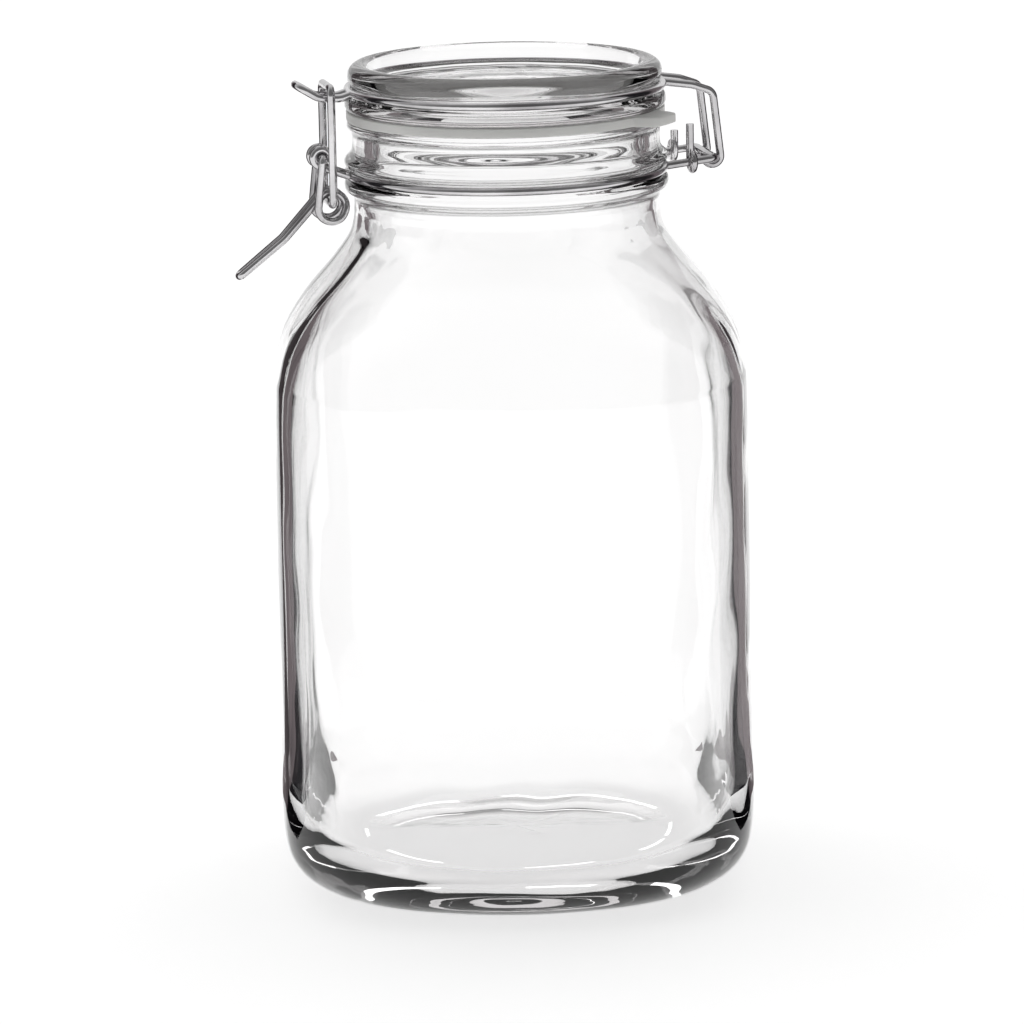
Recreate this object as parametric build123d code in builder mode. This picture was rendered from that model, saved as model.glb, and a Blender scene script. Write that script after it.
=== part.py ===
from build123d import *
from math import atan2, cos, degrees, hypot, radians, sin
import os

# A bail clamp storage jar: a glass jar with a glass lid, a rubber seal and a bent-wire clamp.
# Millimetres, +Z up. The origin is the centre of the base on the surface that the jar stands on.
# The clamp's latch is at -X and its hinge at +X, so every joint axis runs along Y.

# Driving dimensions of the glass
body_half_low = 71.5  # half the width across the faces, just above the heel
body_half_high = 70.6  # the same, just below the shoulder
body_turn = -12.0  # the square body's turn under the clamp, which can be slid round the neck
face_bow = 1.0736  # radius at a face's edge over the half width, on the fully square section
corner_bow = 1.1355  # the same at the middle of a rounded corner
face_edge_angle = 25.0  # where a face meets its corner, from the middle of the face
heel_top = 20.0
shoulder_bottom = 150.0
neck_bottom = 203.0
land_height = 230.3  # the ground top of the mouth, where the seal sits
wall = 4.2
floor_thickness = 10.0
foot_inner_radius = 45.0
foot_recess = 2.5
neck_radius = 45.6
bead_radius = 48.2
mouth_radius = 38.5

# Driving dimensions of the clamp's wire
wire = 1.2  # radius of the drawn wire
running_gap = 0.1  # radial gap of an eye or hook round its pin
eye_radius = wire * 2 + running_gap
neck_ring_radius = 46.95
neck_ring_height = 214.9
lid_ring_radius = 46.6
lid_ring_height = 239.5
hinge_x, hinge_z = 61.0, 216.6
hook_side = 8.0  # the lid wire's arms stand this far each side of the middle
hinge_bar_side = 12.0
pivot_x, pivot_z = -56.0, 221.0  # the lever's pivot in the neck wire's eyes
eye_side = 2.6
lever_side = 5.1
bail_side = 7.6
bail_x, bail_bottom, bail_top = -53.6, 207.4, 242.0
loop_x, loop_z, loop_radius = -53.5, 206.5, 4.2
tongue_side = 3.5

# Driving dimensions of the lid and the seal
seal_bottom, seal_top = 230.4, 233.4
seal_inner, seal_outer = 37.4, 47.2
tab_angle, tab_width, tab_reach = -40.0, 12.0, 54.0
flange_radius = 47.6

os.makedirs("parts", exist_ok=True)


def polar(radius, angle):
    """A point at this radius and angle on a flat sketch."""
    return (radius * cos(radians(angle)), radius * sin(radians(angle)))


def turned_plane(height):
    """A level plane turned with the square body."""
    return Plane(origin=(0, 0, height), x_dir=(*polar(1, body_turn), 0), z_dir=(0, 0, 1))


def side_plane(y):
    """An upright plane across the clamp, where a sketch's x and y are the row's X and Z."""
    return Plane(origin=(0, y, 0), x_dir=(1, 0, 0), z_dir=(0, -1, 0))


def draw_section(half, squareness):
    """The body's section: bowed faces and round corners, which turn into a circle at squareness 0."""
    edge = half * (1 + (face_bow - 1) * squareness)
    corner = half * (1 + (corner_bow - 1) * squareness)
    with BuildLine() as outline:
        for quarter in range(4):
            face = quarter * 90
            first = polar(edge, face - face_edge_angle)
            last = polar(edge, face + face_edge_angle)
            ThreePointArc(first, polar(half, face), last)
            ThreePointArc(last, polar(corner, face + 45), polar(edge, face + 90 - face_edge_angle))
    make_face(outline.edges())


def taper(height):
    """Half the body's width at this height of its straight part."""
    share = (height - heel_top) / (shoulder_bottom - heel_top)
    return body_half_low + share * (body_half_high - body_half_low)


# Height, half width and squareness of the outer sections, from the foot to the neck
heel_sections = [
    (0.0, 53.0, 0.3),
    (1.6, 58.5, 0.5),
    (5.0, 64.6, 0.75),
    (11.0, 69.4, 0.92),
    (heel_top, taper(heel_top), 1.0),
]
shoulder_sections = [
    (shoulder_bottom, taper(shoulder_bottom), 1.0),
    (158.0, 70.0, 0.98),
    (168.0, 67.6, 0.88),
    (178.5, 61.2, 0.62),
    (189.0, 52.4, 0.28),
    (197.0, 46.9, 0.06),
    (neck_bottom, neck_radius, 0.0),
]
# The hollow follows the outside at the wall's thickness, and rounds in more at the floor
floor_sections = [
    (floor_thickness, 50.0, 0.3),
    (floor_thickness + 1.4, 55.5, 0.5),
    (floor_thickness + 5.0, 61.5, 0.75),
    (floor_thickness + 11.0, 65.6, 0.92),
    (floor_thickness + 20.0, taper(floor_thickness + 20.0) - wall, 1.0),
]
hollow_shoulder = [(z, half - wall, squareness) for z, half, squareness in shoulder_sections]

with BuildPart() as jar_body:
    for stack in (heel_sections, [heel_sections[-1], shoulder_sections[0]], shoulder_sections):
        for height, half, squareness in stack:
            with BuildSketch(turned_plane(height)):
                draw_section(half, squareness)
        loft()
    with BuildSketch(Plane.XZ):
        with BuildLine():
            Polyline(
                (0, neck_bottom - 1),
                (neck_radius, neck_bottom - 1),
                (neck_radius, 208.4),
                (bead_radius, 209.8),
                (bead_radius, 212.6),
                (neck_ring_radius - wire, 213.5),
                (neck_ring_radius - wire, 216.3),
                (bead_radius, 217.3),
                (bead_radius, 219.0),
                (neck_radius + 0.2, 221.4),
                (neck_radius + 0.2, 227.0),
                (seal_outer, 228.2),
                (seal_outer, land_height),
                (0, land_height),
                close=True,
            )
        make_face()
    revolve(axis=Axis.Z)
    for stack in (floor_sections, [floor_sections[-1], hollow_shoulder[0]], hollow_shoulder):
        for height, half, squareness in stack:
            with BuildSketch(turned_plane(height)):
                draw_section(half, squareness)
        loft(mode=Mode.SUBTRACT)
    with BuildSketch(Plane.XZ):
        with BuildLine():
            Polyline(
                (0, neck_bottom - 0.5),
                (neck_radius - wall, neck_bottom - 0.5),
                (neck_radius - wall, 215),
                (mouth_radius, 222),
                (mouth_radius, land_height + 1),
                (0, land_height + 1),
                close=True,
            )
        make_face()
    revolve(axis=Axis.Z, mode=Mode.SUBTRACT)
    with BuildSketch(Plane.XZ):
        with BuildLine():
            Line((0, 0), (foot_inner_radius, 0))
            Line((0, 0), (0, foot_recess))
            ThreePointArc((0, foot_recess), (foot_inner_radius * 0.6, 1.7), (foot_inner_radius, 0))
        make_face()
    revolve(axis=Axis.Z, mode=Mode.SUBTRACT)
jar_body.part.label = "jar_body"
export_step(jar_body.part, "parts/jar_body.step")

with BuildPart() as glass_lid:
    with BuildSketch(Plane.XZ):
        with BuildLine():
            Polyline(
                (0, 234.6),
                (29.0, 234.2),
                (32.0, 229.0),
                (35.2, 229.0),
                (36.6, seal_top),
                (flange_radius - 1.2, seal_top),
                (flange_radius, seal_top + 1.2),
                (flange_radius, 236.9),
                (flange_radius - 0.6, 237.6),
                (lid_ring_radius - wire, 238.3),
                (lid_ring_radius - wire, 240.8),
                (46.5, 241.6),
                (46.6, 244.2),
            )
            ThreePointArc((46.6, 244.2), (45.4, 246.4), (43.2, 247.2))
            ThreePointArc((43.2, 247.2), (41.6, 246.6), (40.6, 245.4))
            Polyline((40.6, 245.4), (38.4, 241.2), (0, 240.2), (0, 234.6))
        make_face()
    revolve(axis=Axis.Z)
glass_lid.part.label = "glass_lid"
export_step(glass_lid.part, "parts/glass_lid.step")

with BuildPart() as gasket:
    with BuildSketch(Plane.XY.offset(seal_bottom)) as seal_ring:
        Circle(seal_outer)
        Circle(seal_inner, mode=Mode.SUBTRACT)
    extrude(amount=seal_top - seal_bottom)
    tab_root = seal_outer - 4
    tab_middle = (tab_reach + tab_root) / 2
    tab_plane = Plane(
        origin=(*polar(tab_middle, tab_angle), seal_bottom),
        x_dir=(*polar(1, tab_angle), 0),
        z_dir=(0, 0, 1),
    )
    with BuildSketch(tab_plane):
        RectangleRounded(tab_reach - tab_root, tab_width, 2.5)
    extrude(amount=seal_top - seal_bottom - 0.5)
gasket.part.label = "gasket"
export_step(gasket.part, "parts/gasket.step")


def sweep_wire(path):
    """Draw the round wire along a path, square to the path's start."""
    with BuildSketch(Plane(origin=path @ 0, z_dir=path % 0)) as section:
        Circle(wire)
    sweep(sections=section.sketch, path=path)


# The lid wire: a ring, a tongue at the latch, and two arms that hook round the hinge bar
arm_lean = 6.5  # how far the upright of each arm leans out, in degrees
arm_length = 19.2
hook_start = (hinge_x + eye_radius * cos(radians(arm_lean)), hinge_z + eye_radius * sin(radians(arm_lean)))
arm_corner = (hook_start[0] - arm_length * sin(radians(arm_lean)), hook_start[1] + arm_length * cos(radians(arm_lean)))
with BuildPart() as lid_wire:
    with BuildSketch(Plane.XZ):
        with Locations((lid_ring_radius, lid_ring_height)):
            Circle(wire)
    revolve(axis=Axis.Z)
    tongue_half = [(-46.5, lid_ring_height), (-50.0, 238.4), (-56.5, 238.7), (-62.8, 242.6)]
    with BuildLine() as tongue_line:
        FilletPolyline(
            *[(x, -tongue_side, z) for x, z in tongue_half],
            *[(x, tongue_side, z) for x, z in reversed(tongue_half)],
            radius=[6, 6, 3, 3, 6, 6],
        )
    sweep_wire(tongue_line.wires()[0])
    for side in (-hook_side, hook_side):
        with BuildLine(side_plane(side)) as arm_line:
            arm = FilletPolyline((45.9, lid_ring_height), (55.0, 238.2), arm_corner, hook_start, radius=[8, 3])
            JernArc(start=arm @ 1, tangent=arm % 1, radius=eye_radius, arc_size=-205)
        sweep_wire(arm_line.wires()[0])
lid_wire.part.label = "lid_wire"
export_step(lid_wire.part, "parts/lid_wire.step")

# The neck wire: a ring, a rear loop that is the hinge bar, its twisted ends, and two front eyes
arm_rise = 21.0  # slope of the arms that carry the eyes, in degrees
eye_start = (
    pivot_x - eye_radius * sin(radians(arm_rise)),
    pivot_z - eye_radius * cos(radians(arm_rise)),
)
eye_arm_length = 10.7
eye_root = (
    eye_start[0] + eye_arm_length * cos(radians(arm_rise)),
    eye_start[1] - eye_arm_length * sin(radians(arm_rise)),
)
wrap_x = 53.8
rear_root = (neck_ring_radius**2 - hinge_bar_side**2) ** 0.5
wrap_radius = wire * 2 - 0.05
wrap_z = neck_ring_height + (hinge_z - neck_ring_height) * (wrap_x - rear_root) / (hinge_x - rear_root)
with BuildPart() as neck_wire:
    with BuildSketch(Plane.XZ):
        with Locations((neck_ring_radius, neck_ring_height)):
            Circle(wire)
    revolve(axis=Axis.Z)
    with BuildLine() as rear_line:
        FilletPolyline(
            (rear_root, -hinge_bar_side, neck_ring_height),
            (hinge_x, -hinge_bar_side, hinge_z),
            (hinge_x, hinge_bar_side, hinge_z),
            (rear_root, hinge_bar_side, neck_ring_height),
            radius=2.4,
        )
    sweep_wire(rear_line.wires()[0])
    for side in (-1, 1):
        end_plane = Plane(origin=(wrap_x, 0, 0), x_dir=(0, side, 0), z_dir=(side, 0, 0))
        stub_top = wrap_z + (11.0 if side < 0 else 6.5)
        with BuildLine(end_plane) as wrap_line:
            stub = Line((hinge_bar_side - wrap_radius, stub_top), (hinge_bar_side - wrap_radius, wrap_z))
            JernArc(start=stub @ 1, tangent=stub % 1, radius=wrap_radius, arc_size=250)
        sweep_wire(wrap_line.wires()[0])
        with BuildLine(side_plane(side * eye_side)) as eye_line:
            arm = Line(eye_root, eye_start)
            JernArc(start=arm @ 1, tangent=arm % 1, radius=eye_radius, arc_size=-285)
        sweep_wire(eye_line.wires()[0])
neck_wire.part.label = "neck_wire"
export_step(neck_wire.part, "parts/neck_wire.step")

# The bail: a closed rectangle of wire that hooks over the tongue
with BuildPart() as bail:
    with BuildLine(Plane(origin=(bail_x, 0, 0), x_dir=(0, 1, 0), z_dir=(1, 0, 0))) as bail_line:
        FilletPolyline(
            (0, bail_top),
            (bail_side, bail_top),
            (bail_side, bail_bottom),
            (0, bail_bottom),
            radius=2.2,
        )
    sweep_wire(bail_line.wires()[0])
    mirror(about=Plane.XZ)
bail.part.label = "bail"
export_step(bail.part, "parts/bail.step")

# The lever: from its pivot in an eye, down, once round the bail's foot, and out as the handle
reach = hypot(loop_x - pivot_x, loop_z - pivot_z)
leg_angle = degrees(atan2(loop_z - pivot_z, loop_x - pivot_x))
touch_angle = leg_angle + 180 + degrees(atan2((reach**2 - loop_radius**2) ** 0.5, loop_radius))
handle_steepness = 46.5
leave_angle = 90 + handle_steepness
loop_turn = (leave_angle + 360 - touch_angle) / 4  # the loop is four bends
loop_sides = [5.0, 4.2, 3.2, 2.6]  # each bend's distance from the middle: the loop drifts inwards
handle_bend = (-67.6, 197.3)
handle_tip = (-81.0, 186.8)
tip_side = 1.4
half_lever = [(pivot_x, 0.9, pivot_z), (pivot_x, lever_side, pivot_z)]
for bend, side in enumerate(loop_sides):
    x, z = polar(loop_radius / cos(radians(loop_turn / 2)), touch_angle + loop_turn * (bend + 0.5))
    half_lever.append((loop_x + x, side, loop_z + z))
half_lever.append((handle_bend[0], (loop_sides[-1] + tip_side) / 2, handle_bend[1]))
half_lever.append((handle_tip[0], tip_side, handle_tip[1]))
bend_radii = [1.3, 4.0, 4.0, 4.0, 4.0, 9.0, 1.36]
with BuildPart() as lever:
    with BuildLine() as lever_line:
        FilletPolyline(
            *half_lever,
            *[(x, -y, z) for x, y, z in reversed(half_lever)],
            radius=bend_radii + bend_radii[::-1],
        )
    sweep_wire(lever_line.wires()[0])
lever.part.label = "lever"
export_step(lever.part, "parts/lever.step")
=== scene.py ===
"""Looks of the bail clamp jar: clear glass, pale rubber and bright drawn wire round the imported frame.

Every piece is made in metres in the row frame. Profiles below are in millimetres and go through MM.
"""

import math

import bmesh
import bpy
from mathutils import Matrix, Vector, noise


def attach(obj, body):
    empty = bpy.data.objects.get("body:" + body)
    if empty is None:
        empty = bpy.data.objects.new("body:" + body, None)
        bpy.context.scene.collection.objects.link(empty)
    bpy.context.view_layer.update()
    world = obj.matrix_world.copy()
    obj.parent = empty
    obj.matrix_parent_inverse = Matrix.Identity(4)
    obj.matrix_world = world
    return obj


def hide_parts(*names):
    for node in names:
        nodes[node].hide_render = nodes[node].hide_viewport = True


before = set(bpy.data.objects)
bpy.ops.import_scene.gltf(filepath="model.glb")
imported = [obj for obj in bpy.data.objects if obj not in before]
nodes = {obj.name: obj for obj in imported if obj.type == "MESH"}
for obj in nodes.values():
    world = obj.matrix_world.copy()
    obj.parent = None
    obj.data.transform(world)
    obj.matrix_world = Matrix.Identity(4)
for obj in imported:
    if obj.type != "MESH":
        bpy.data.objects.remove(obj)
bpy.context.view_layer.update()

MM = 0.001
BODY_TURN = math.radians(-12)  # the square body's turn under the clamp
FACE_EDGE = math.radians(25.2)  # where a face of the body meets its round corner
AROUND = 176  # points round each ring of glass

# Camera: the direction it looks from, how far it stands and its long lens
CAMERA_AZIMUTH = math.radians(-12)
CAMERA_PITCH = math.radians(12.45)
CAMERA_ROLL = math.radians(1.1)
CAMERA_DISTANCE = 1.525
CAMERA_TARGET = Vector((-0.0003, 0.0, 0.1103))
CAMERA_LENS = 178.0


def rounded_square(angle):
    """Radius of the body's section over its half width: four bowed faces and four round corners."""
    bow, offset, corner = 2.66, 0.3845, 0.5915
    angle = abs((angle + math.pi / 4) % (math.pi / 2) - math.pi / 4)
    if angle < FACE_EDGE:
        return math.sqrt((1 + bow) ** 2 - (bow * math.sin(angle)) ** 2) - bow * math.cos(angle)
    along = offset * (math.cos(angle) + math.sin(angle))
    across = offset * (math.cos(angle) - math.sin(angle))
    return along + math.sqrt(corner**2 - across**2)


def smooth_rows(rows, step):
    """Rows of numbers along a Catmull-Rom curve, about one row each step of the first two."""
    out = [rows[0]]
    for i in range(len(rows) - 1):
        p0, p1, p2 = rows[max(i - 1, 0)], rows[i], rows[i + 1]
        p3 = rows[min(i + 2, len(rows) - 1)]
        length = math.hypot(p2[0] - p1[0], p2[1] - p1[1])
        count = max(1, round(length / step))
        for k in range(1, count + 1):
            t = k / count
            out.append(
                tuple(
                    0.5 * (2 * b + (c - a) * t + (2 * a - 5 * b + 4 * c - d) * t**2
                           + (3 * b - a - 3 * c + d) * t**3)
                    for a, b, c, d in zip(p0, p1, p2, p3)
                )
            )
    return out


def ring_mesh(name, rows, place, closed=False):
    """A mesh of rings, one for each row, with the point of each ring given by place(row, angle)."""
    bm = bmesh.new()
    rings = []
    for row in rows:
        if row[1] < 1e-6:
            rings.append([bm.verts.new(place(row, 0.0))])
            continue
        angles = (2 * math.pi * i / AROUND for i in range(AROUND))
        rings.append([bm.verts.new(place(row, angle)) for angle in angles])
    pairs = list(zip(rings, rings[1:]))
    if closed:
        pairs.append((rings[-1], rings[0]))
    for low, high in pairs:
        for i in range(AROUND):
            j = (i + 1) % AROUND
            corners = [low[i % len(low)], low[j % len(low)], high[j % len(high)], high[i % len(high)]]
            bm.faces.new(list(dict.fromkeys(corners)))
    bmesh.ops.recalc_face_normals(bm, faces=bm.faces)
    for face in bm.faces:
        face.smooth = True
    mesh = bpy.data.meshes.new(name)
    bm.to_mesh(mesh)
    bm.free()
    piece = bpy.data.objects.new(name, mesh)
    bpy.context.scene.collection.objects.link(piece)
    return piece


# ---------------------------------------------------------------- glass jar
# Each row is height, half width, squareness and waviness, in millimetres
def jar_rows():
    """The jar's profile from the middle of its base, up the outside and down the inside to the floor."""
    base = smooth_rows(
        [(2.5, 0, 0, 0), (2.4, 10, 0, 0), (2.0, 24, 0, 0), (1.2, 37, 0, 0.05), (0.25, 46, 0.1, 0.05),
         (0.0, 49.5, 0.2, 0)],
        2.5,
    )
    outside = smooth_rows(
        [(0.0, 49.5, 0.2, 0), (0.15, 53.5, 0.32, 0), (1.8, 58.8, 0.5, 0), (5.0, 64.4, 0.74, 0),
         (11.0, 69.2, 0.92, 0), (20.0, 71.36, 1, 0), (40.0, 71.36, 1, 0), (80.0, 71.12, 1, 0),
         (120.0, 70.9, 1, 0), (150.0, 70.6, 1, 0), (158.0, 70.0, 0.98, 0), (168.0, 67.5, 0.88, 0),
         (178.5, 61.1, 0.62, 0), (189.0, 52.3, 0.28, 0), (197.0, 46.8, 0.06, 0), (203.0, 45.5, 0, 0),
         (207.6, 45.5, 0, 0)],
        2.0,
    )
    neck = smooth_rows(
        [(207.6, 45.5, 0, 0), (208.7, 46.2, 0, 0), (209.8, 47.8, 0, 0), (211.2, 48.1, 0, 0),
         (212.5, 47.8, 0, 0), (213.4, 46.1, 0, 0), (214.2, 45.7, 0, 0), (215.6, 45.7, 0, 0),
         (216.4, 46.1, 0, 0), (217.2, 47.8, 0, 0), (218.2, 48.1, 0, 0), (219.4, 47.6, 0, 0),
         (221.2, 46.0, 0, 0), (223.0, 45.7, 0, 0), (226.0, 45.7, 0, 0), (227.6, 46.1, 0, 0),
         (228.6, 47.0, 0, 0), (229.5, 47.1, 0, 0), (230.15, 46.5, 0, 0), (230.3, 45.4, 0, 0),
         (230.3, 41.0, 0, 0), (230.2, 39.6, 0, 0), (229.4, 38.7, 0, 0), (227.5, 38.5, 0, 0.05),
         (222.0, 38.7, 0, 0.1), (217.0, 40.2, 0, 0.2), (212.0, 41.3, 0, 0.25), (203.0, 41.3, 0, 0.3)],
        0.7,
    )
    inside = smooth_rows(
        [(203.0, 41.3, 0, 0.3), (197.0, 42.7, 0.06, 0.4), (188.0, 48.8, 0.28, 0.5),
         (177.5, 57.2, 0.6, 0.5), (167.5, 63.3, 0.86, 0.5), (158.0, 65.7, 0.97, 0.5),
         (150.0, 66.4, 1, 0.5), (120.0, 66.7, 1, 0.45), (80.0, 66.9, 1, 0.45), (45.0, 67.0, 1, 0.45),
         (30.0, 66.8, 0.98, 0.4), (21.0, 65.2, 0.92, 0.4), (15.0, 61.4, 0.76, 0.3),
         (11.6, 56.2, 0.5, 0.2), (10.4, 50.8, 0.25, 0.15), (10.1, 40, 0.05, 0.12), (10.3, 22, 0, 0.1),
         (10.6, 8, 0, 0.1), (10.7, 0, 0, 0)],
        2.2,
    )
    return base + outside[1:] + neck[1:] + inside[1:]


def jar_point(row, angle):
    """A point of the jar: the squareness shapes the ring, and blown glass ripples on its inner side."""
    height, half, squareness, ripple = row
    radius = half * (1 + max(0.0, squareness) * (rounded_square(angle) - 1))
    if ripple > 0 and half > 0:
        around = Vector((math.cos(angle), math.sin(angle), 0)) * 2.1
        slow = noise.noise(around + Vector((0, 0, height * 0.014)))
        fine = noise.noise(around * 3.0 + Vector((7, 0, height * 0.045)))
        change = ripple * (1.7 * slow + 0.5 * fine)
        if height < 11.5:
            height += change * 0.6
        else:
            radius += change
    turned = angle + BODY_TURN
    return Vector((radius * math.cos(turned), radius * math.sin(turned), max(0.0, height))) * MM


# ---------------------------------------------------------------- glass lid
def lid_rows():
    """The lid's profile from the middle of its underside, out, up the rim and back in over the top."""
    return smooth_rows(
        [(234.8, 0, 0), (234.7, 12, 0), (234.4, 24, 0), (233.9, 28.4, 0), (231.6, 30.4, 0.2),
         (229.6, 31.8, 0.3), (229.05, 33.2, 0.3), (229.3, 34.8, 0.3), (230.8, 35.9, 0.2),
         (232.9, 36.5, 0), (233.4, 37.6, 0), (233.4, 45.6, 0), (233.6, 46.9, 0), (234.6, 47.55, 0),
         (236.0, 47.55, 0), (237.2, 47.2, 0), (238.1, 46.0, 0), (238.6, 45.4, 0), (239.6, 45.3, 0),
         (240.6, 45.4, 0), (241.3, 46.1, 0), (242.4, 46.5, 0), (244.4, 46.5, 0), (245.9, 45.8, 0),
         (246.9, 44.4, 0), (247.15, 43.0, 0), (246.7, 41.6, 0), (245.2, 40.5, 0), (243.0, 39.4, 0),
         (241.6, 38.2, 0.1), (240.9, 36.0, 0.2), (240.7, 30.0, 0.15), (240.5, 16, 0.1), (240.4, 0, 0)],
        0.8,
    )


def lid_point(row, angle):
    """A point of the pressed lid, with the slight ripple that pressing leaves."""
    height, radius, ripple = row
    if ripple > 0 and radius > 0:
        around = Vector((math.cos(angle), math.sin(angle), radius * 0.05)) * 3.5
        height += ripple * 1.2 * noise.noise(around)
    return Vector((radius * math.cos(angle), radius * math.sin(angle), height)) * MM


# ---------------------------------------------------------------- rubber seal
SEAL_LOW, SEAL_HIGH = 230.4, 233.4  # height of its underside and top
SEAL_IN, SEAL_OUT = 37.4, 47.2  # radius of its bore and edge
TAB_ANGLE = math.radians(-40)
TAB_HALF_WIDTH = 5.9
TAB_REACH = 53.9  # radius of the tab's end
TAB_BLEND = 3.2  # how far round the edge its side takes to run out
SEAL_CORNER = 0.55


def seal_rows():
    """The seal's section as a closed outline with round corners: height and radius."""
    rows = []
    low, high = SEAL_CORNER, SEAL_HIGH - SEAL_LOW - SEAL_CORNER
    near, far = SEAL_CORNER, SEAL_OUT - SEAL_IN - SEAL_CORNER
    for cx, cz, start in ((far, low, -90), (far, high, 0), (near, high, 90), (near, low, 180)):
        for k in range(5):
            a = math.radians(start + k * 22.5)
            rows.append((
                SEAL_LOW + cz + SEAL_CORNER * math.sin(a),
                SEAL_IN + cx + SEAL_CORNER * math.cos(a),
            ))
    return rows


def seal_point(row, angle):
    """A point of the seal; its outer edge runs out into the pull tab."""
    height, radius = row
    offset = (angle - TAB_ANGLE + math.pi) % (2 * math.pi) - math.pi
    sideways = abs(offset) * SEAL_OUT
    share = min(1.0, max(0.0, (TAB_HALF_WIDTH + 2.0 - sideways) / TAB_BLEND))
    share = share * share * (3 - 2 * share)
    out = (radius - SEAL_IN) / (SEAL_OUT - SEAL_IN)
    radius += share * (TAB_REACH - SEAL_OUT) * out
    return Vector((radius * math.cos(angle), radius * math.sin(angle), height)) * MM


# ---------------------------------------------------------------- materials
def new_material(name):
    """A material with its tree, its Principled node and its output."""
    material = bpy.data.materials.new(name)
    material.use_nodes = True
    tree = material.node_tree
    return material, tree, tree.nodes["Principled BSDF"]


def noise_texture(tree, scale, detail, stretch=(1, 1, 1)):
    """Noise in object space, stretched along the axes."""
    place = tree.nodes.new("ShaderNodeTexCoord")
    mapping = tree.nodes.new("ShaderNodeMapping")
    mapping.inputs["Scale"].default_value = stretch
    texture = tree.nodes.new("ShaderNodeTexNoise")
    texture.inputs["Scale"].default_value = scale
    texture.inputs["Detail"].default_value = detail
    tree.links.new(place.outputs["Object"], mapping.inputs["Vector"])
    tree.links.new(mapping.outputs["Vector"], texture.inputs["Vector"])
    return texture


def remap(tree, source, low, high, start=0.3, end=0.7):
    """The source's range from start to end as low to high."""
    node = tree.nodes.new("ShaderNodeMapRange")
    node.inputs["From Min"].default_value = start
    node.inputs["From Max"].default_value = end
    node.inputs["To Min"].default_value = low
    node.inputs["To Max"].default_value = high
    tree.links.new(source, node.inputs["Value"])
    return node.outputs["Result"]


def add_bump(tree, shader, source, strength, distance):
    """A bump from the source on the shader's normal."""
    bump = tree.nodes.new("ShaderNodeBump")
    bump.inputs["Strength"].default_value = strength
    bump.inputs["Distance"].default_value = distance
    tree.links.new(source, bump.inputs["Height"])
    tree.links.new(bump.outputs["Normal"], shader.inputs["Normal"])


def glass_material(name, bump_distance, stretch, density):
    """Clear glass with the slow unevenness of its making, and a faint grey in its thickness."""
    material, tree, shader = new_material(name)
    shader.inputs["Base Color"].default_value = (1.0, 1.0, 1.0, 1)
    shader.inputs["Roughness"].default_value = 0.0
    shader.inputs["Transmission Weight"].default_value = 1.0
    shader.inputs["IOR"].default_value = 1.51
    ripple = noise_texture(tree, 38.0, 2.0, stretch)
    add_bump(tree, shader, ripple.outputs["Fac"], 0.35, bump_distance)
    volume = tree.nodes.new("ShaderNodeVolumeAbsorption")
    volume.inputs["Color"].default_value = (0.72, 0.68, 0.69, 1)
    volume.inputs["Density"].default_value = density
    tree.links.new(volume.outputs["Volume"], tree.nodes["Material Output"].inputs["Volume"])
    return material


def rubber_material():
    """Pale translucent rubber with a fine mould texture."""
    material, tree, shader = new_material("pale_rubber")
    mottle = noise_texture(tree, 60.0, 4.0)
    ramp = tree.nodes.new("ShaderNodeValToRGB")
    ramp.color_ramp.elements[0].color = (0.60, 0.60, 0.585, 1)
    ramp.color_ramp.elements[1].color = (0.74, 0.74, 0.72, 1)
    tree.links.new(mottle.outputs["Fac"], ramp.inputs["Fac"])
    tree.links.new(ramp.outputs["Color"], shader.inputs["Base Color"])
    tree.links.new(remap(tree, mottle.outputs["Fac"], 0.38, 0.52), shader.inputs["Roughness"])
    shader.inputs["Subsurface Weight"].default_value = 0.35
    shader.inputs["Subsurface Radius"].default_value = (0.004, 0.004, 0.0038)
    grain = noise_texture(tree, 900.0, 3.0)
    add_bump(tree, shader, grain.outputs["Fac"], 0.25, 0.00008)
    return material


def wire_material():
    """Bright drawn steel wire: faint draw lines, soft tarnish and small handling scuffs."""
    material, tree, shader = new_material("drawn_steel")
    tarnish = noise_texture(tree, 55.0, 5.0)
    ramp = tree.nodes.new("ShaderNodeValToRGB")
    ramp.color_ramp.elements[0].color = (0.40, 0.39, 0.40, 1)
    ramp.color_ramp.elements[0].position = 0.3
    ramp.color_ramp.elements[1].color = (0.78, 0.77, 0.78, 1)
    ramp.color_ramp.elements[1].position = 0.7
    tree.links.new(tarnish.outputs["Fac"], ramp.inputs["Fac"])
    tree.links.new(ramp.outputs["Color"], shader.inputs["Base Color"])
    shader.inputs["Metallic"].default_value = 1.0
    scuffs = noise_texture(tree, 420.0, 6.0, (1, 1, 0.25))
    tree.links.new(remap(tree, scuffs.outputs["Fac"], 0.08, 0.20), shader.inputs["Roughness"])
    add_bump(tree, shader, scuffs.outputs["Fac"], 0.3, 0.00003)
    return material


def show(piece, material, body, node):
    """Give a new piece its material, let it ride on its body and stand for its CAD node."""
    piece.data.materials.append(material)
    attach(piece, body)
    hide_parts(node)


# ---------------------------------------------------------------- studio
def emission_material(name, colour, strength):
    """A plain glowing surface for a card."""
    material = bpy.data.materials.new(name)
    material.use_nodes = True
    tree = material.node_tree
    tree.nodes.clear()
    output = tree.nodes.new("ShaderNodeOutputMaterial")
    light = tree.nodes.new("ShaderNodeEmission")
    light.inputs["Color"].default_value = colour
    light.inputs["Strength"].default_value = strength
    tree.links.new(light.outputs["Emission"], output.inputs["Surface"])
    return material


CARD_FOOT, CARD_LIFT = 0.115, 0.0006  # where a card's foot starts, and how high it lies
CARD_DISTANCE, CARD_HEIGHT = 0.30, 0.6
CARD_STEPS = 12


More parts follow.
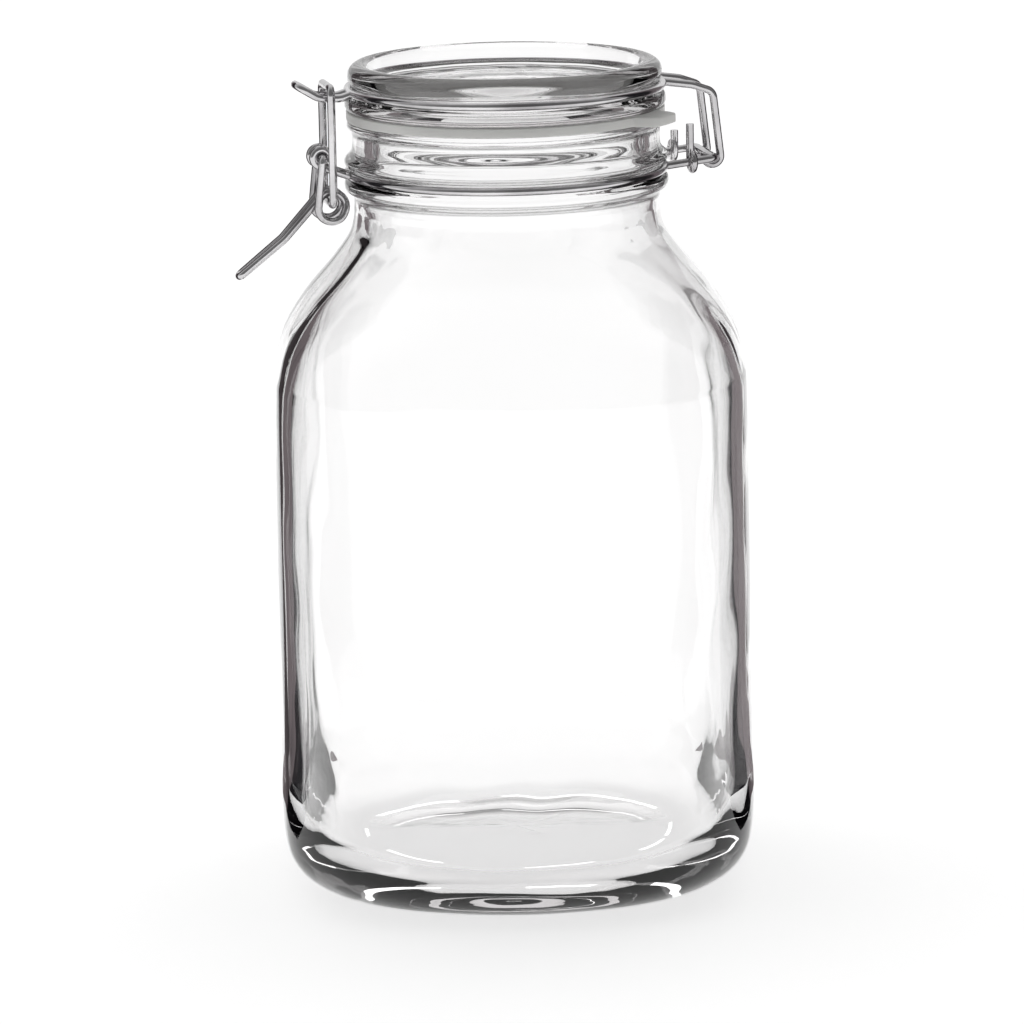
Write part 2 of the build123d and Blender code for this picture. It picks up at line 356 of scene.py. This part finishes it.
def make_card(name, angle, spread, material):
    """A curved card beside the jar, at an angle from the line of sight, with a foot along the floor.

    Only glass and metal see it, as with cards that stand just outside a photograph's frame.
    """
    outline = (
        (CARD_FOOT, CARD_LIFT),
        (CARD_DISTANCE, CARD_LIFT),
        (CARD_DISTANCE, CARD_HEIGHT),
    )
    bm = bmesh.new()
    columns = []
    for i in range(CARD_STEPS + 1):
        turn = math.pi / 2 + CAMERA_AZIMUTH + angle + spread * (i / CARD_STEPS - 0.5)
        columns.append([bm.verts.new((r * math.cos(turn), r * math.sin(turn), z)) for r, z in outline])
    for left, right in zip(columns, columns[1:]):
        for k in range(2):
            bm.faces.new([left[k], right[k], right[k + 1], left[k + 1]])
    mesh = bpy.data.meshes.new(name)
    bm.to_mesh(mesh)
    bm.free()
    mesh.materials.append(material)
    card = bpy.data.objects.new(name, mesh)
    bpy.context.scene.collection.objects.link(card)
    card.visible_camera = False
    card.visible_diffuse = False
    card.visible_shadow = False


def make_floor():
    """A plain pale floor, bright enough to meet the white backdrop without a line."""
    bm = bmesh.new()
    bmesh.ops.create_circle(bm, cap_ends=True, segments=96, radius=12.0)
    mesh = bpy.data.meshes.new("floor")
    bm.to_mesh(mesh)
    bm.free()
    material, tree, shader = new_material("pale_floor")
    shader.inputs["Base Color"].default_value = (0.86, 0.86, 0.86, 1)
    shader.inputs["Roughness"].default_value = 0.9
    shader.inputs["Specular IOR Level"].default_value = 0.1
    shader.inputs["Emission Color"].default_value = (1, 1, 1, 1)
    shader.inputs["Emission Strength"].default_value = 0.62
    mesh.materials.append(material)
    floor = bpy.data.objects.new("floor", mesh)
    bpy.context.scene.collection.objects.link(floor)


def make_world():
    """Soft white light all round, a little dimmer on the camera's side and overhead."""
    world = bpy.data.worlds.new("studio")
    bpy.context.scene.world = world
    world.use_nodes = True
    tree = world.node_tree
    tree.nodes.clear()
    place = tree.nodes.new("ShaderNodeTexCoord")
    split = tree.nodes.new("ShaderNodeSeparateXYZ")
    depth = tree.nodes.new("ShaderNodeMapRange")
    depth.inputs["From Min"].default_value = -0.5
    depth.inputs["From Max"].default_value = 0.35
    depth.inputs["To Min"].default_value = 0.22
    depth.inputs["To Max"].default_value = 1.0
    room = tree.nodes.new("ShaderNodeBackground")
    white = tree.nodes.new("ShaderNodeBackground")
    white.inputs["Color"].default_value = (1, 1, 1, 1)
    white.inputs["Strength"].default_value = 1.0
    seen = tree.nodes.new("ShaderNodeLightPath")
    mix = tree.nodes.new("ShaderNodeMixShader")
    output = tree.nodes.new("ShaderNodeOutputWorld")
    tree.links.new(place.outputs["Generated"], split.inputs["Vector"])
    tree.links.new(split.outputs["Y"], depth.inputs["Value"])
    tree.links.new(depth.outputs["Result"], room.inputs["Strength"])
    tree.links.new(seen.outputs["Is Camera Ray"], mix.inputs["Fac"])
    tree.links.new(room.outputs["Background"], mix.inputs[1])
    tree.links.new(white.outputs["Background"], mix.inputs[2])
    tree.links.new(mix.outputs["Shader"], output.inputs["Surface"])


def make_camera():
    """A long lens at the photograph's angle."""
    back = Vector((
        math.sin(CAMERA_AZIMUTH) * math.cos(CAMERA_PITCH),
        -math.cos(CAMERA_AZIMUTH) * math.cos(CAMERA_PITCH),
        math.sin(CAMERA_PITCH),
    ))
    data = bpy.data.cameras.new("camera")
    data.lens = CAMERA_LENS
    data.sensor_width = 36.0
    data.clip_end = 50.0
    camera = bpy.data.objects.new("camera", data)
    turn = back.to_track_quat("Z", "Y").to_matrix().to_4x4() @ Matrix.Rotation(-CAMERA_ROLL, 4, "Z")
    camera.matrix_world = Matrix.Translation(CAMERA_TARGET + back * CAMERA_DISTANCE) @ turn
    bpy.context.scene.collection.objects.link(camera)
    bpy.context.scene.camera = camera


make_camera()
make_world()
make_floor()
dark = emission_material("dark_card", (0.012, 0.011, 0.013, 1), 1.0)
grey = emission_material("grey_card", (0.17, 0.145, 0.152, 1), 1.0)
for side in (-1, 1):
    make_card(f"grey_card_{side}", side * math.radians(49), math.radians(22), grey)
    make_card(f"dark_card_{side}", side * math.radians(75), math.radians(30), dark)

steel = wire_material()
jar = ring_mesh("jar_glass", jar_rows(), jar_point)
show(jar, glass_material("blown_glass", 0.0006, (1, 1, 0.35), 6.0), "jar", "jar_body")
lid = ring_mesh("lid_glass", lid_rows(), lid_point)
show(lid, glass_material("pressed_glass", 0.0004, (1, 1, 1), 9.0), "lid", "glass_lid")
seal = ring_mesh("rubber_seal", seal_rows(), seal_point, closed=True)
show(seal, rubber_material(), "lid", "gasket")
for name in ("lid_wire", "neck_wire", "bail", "lever"):
    nodes[name].data.materials.clear()
    nodes[name].data.materials.append(steel)

bpy.context.scene.view_settings.view_transform = "Standard"
